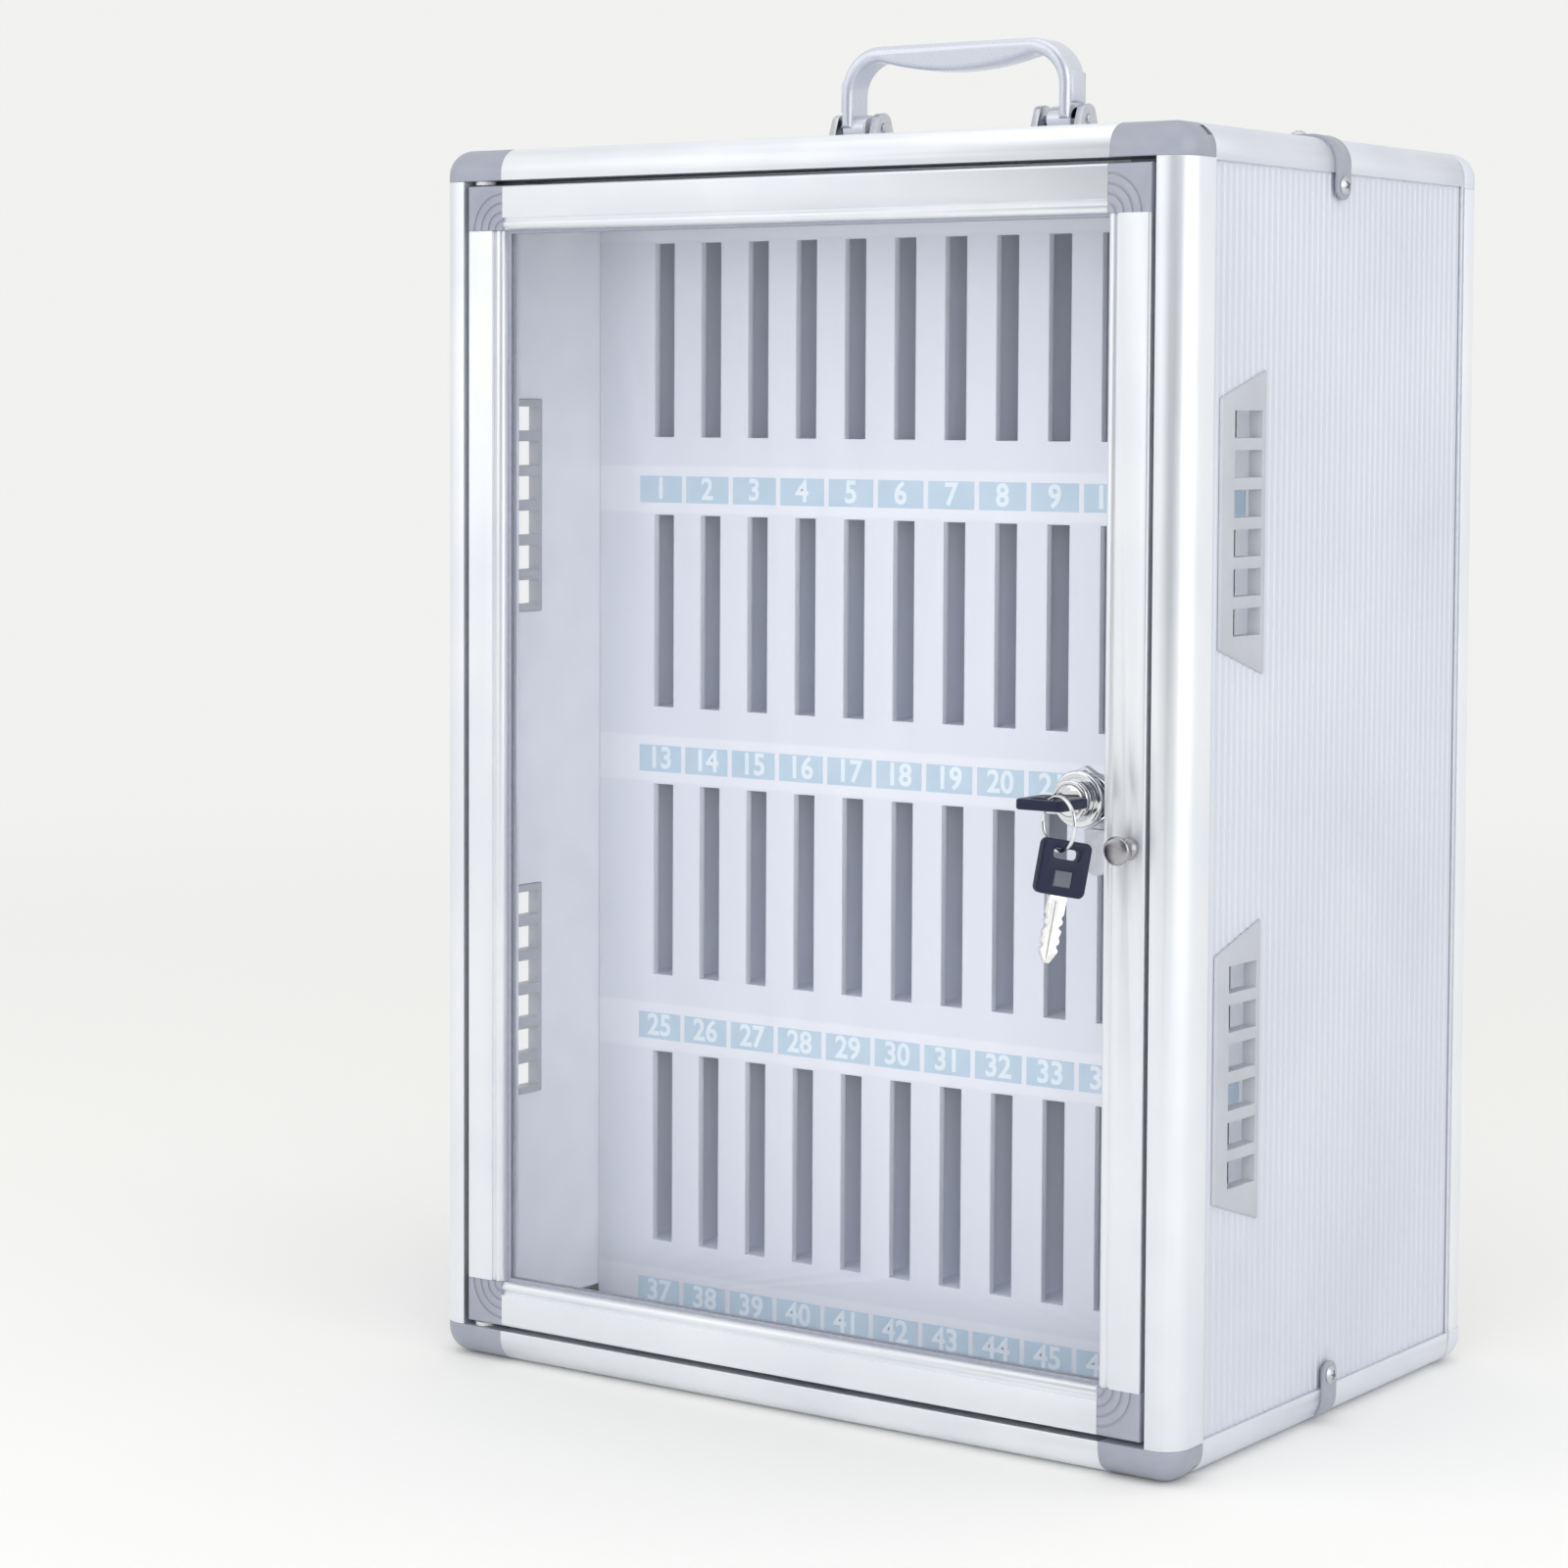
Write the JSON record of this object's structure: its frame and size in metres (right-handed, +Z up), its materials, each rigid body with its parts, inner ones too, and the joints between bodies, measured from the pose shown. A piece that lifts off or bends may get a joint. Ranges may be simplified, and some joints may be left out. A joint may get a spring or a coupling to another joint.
{
  "type": "phone locker box",
  "caption": "Portable locking cabinet with a framed clear hinged door, slotted rack inside, side vents and a folding carrying handle on top.",
  "frame": {"origin": "middle of the underside, on the surface that the cabinet stands on", "axes": "+X to the right seen from the front, -Y out of the front with the door, +Z up"},
  "size_m": [0.344, 0.2674, 0.523],
  "materials": {
    "frame_silver": "bright silver anodised",
    "cap_grey": "pale grey moulded",
    "side_sheet_silver": "ribbed silver sheet",
    "sheet_silver": "silver sheet",
    "liner_grey": "smooth grey board",
    "vent_grey": "moulded grey",
    "rack_board": "foamed board",
    "rack_film": "printed film",
    "clear_panel": "clear",
    "dark_seal": "black",
    "clip_steel": "grey painted",
    "chrome": "polished",
    "zinc_steel": "zinc plated",
    "key_plastic": "black moulded",
    "key_metal": "nickel plated",
    "handle_plastic": "silver grey moulded",
    "white_nylon": "nylon"
  },
  "bodies": {
    "cabinet": {"front_post_left": "frame_silver", "front_post_right": "frame_silver", "front_rail_top": "frame_silver", "front_rail_bottom": "frame_silver", "front_corner_caps": "cap_grey", "rear_posts": "frame_silver", "rear_rails": "frame_silver", "rear_corner_caps": "cap_grey", "edge_trims_front": "frame_silver", "edge_trims_rear": "frame_silver", "rear_seal": "dark_seal", "trim_clips": "clip_steel", "clip_screws": "zinc_steel", "side_sheet_right": "side_sheet_silver", "side_sheet_left": "side_sheet_silver", "side_liner_right": "liner_grey", "side_liner_left": "liner_grey", "vents_right": "vent_grey", "vents_left": "vent_grey", "top_sheet": "sheet_silver", "floor_board": "liner_grey", "back_sheet": "sheet_silver", "rack_face_film": "rack_film", "rack_bands": "rack_board", "rack_bars": "rack_board", "rack_shelves": "rack_board", "rack_dividers": "rack_board", "rack_back": "rack_board", "hinge_pins": "zinc_steel", "hinge_washers": "white_nylon", "door_stop_seal": "dark_seal", "handle_brackets": "zinc_steel", "handle_pins": "zinc_steel", "handle_screws": "zinc_steel", "handle_nuts": "zinc_steel"},
    "door": {"door_stile_hinge": "frame_silver", "door_stile_lock": "frame_silver", "door_rails": "frame_silver", "door_corners": "cap_grey", "clear_panel": "clear_panel", "glazing_seal": "dark_seal", "door_knob": "chrome", "knob_screw": "zinc_steel", "lock_housing": "chrome", "lock_nut": "chrome"},
    "lock_plug": {"lock_plug": "chrome", "lock_cam": "zinc_steel", "cam_nut": "zinc_steel"},
    "key": {"key_head": "key_plastic", "key_blade": "key_metal"},
    "key_ring": {"key_ring": "chrome"},
    "spare_key": {"spare_key_head": "key_plastic", "spare_key_blade": "key_metal"},
    "handle": {"carry_handle": "handle_plastic"}
  },
  "joints": [
    {"name": "door_hinge", "type": "hinge", "parent": "cabinet", "child": "door", "pos_m": [-0.1492, -0.1128, 0.24], "axis": [0, 0, -1], "range_deg": [0, 105]},
    {"name": "lock_turn", "type": "hinge", "parent": "door", "child": "lock_plug", "pos_m": [0.1253, -0.121, 0.241], "axis": [0, -1, 0], "range_deg": [0, 90]},
    {"name": "key_slide", "type": "slide", "parent": "lock_plug", "child": "key", "axis": [0, -1, 0], "range_m": [0, 0.024]},
    {"name": "ring_swing", "type": "hinge", "parent": "key", "child": "key_ring", "pos_m": [0.13292, -0.1405, 0.241], "axis": [0, 1, 0], "range_deg": [-4, 15]},
    {"name": "spare_key_swing", "type": "hinge", "parent": "key_ring", "child": "spare_key", "pos_m": [0.13292, -0.1405, 0.22555], "axis": [0.866, -0.5, 0], "range_deg": [-6, 15]},
    {"name": "handle_fold", "type": "hinge", "parent": "cabinet", "child": "handle", "pos_m": [0, 0, 0.491], "axis": [1, 0, 0], "range_deg": [-98, 98]}
  ]
}
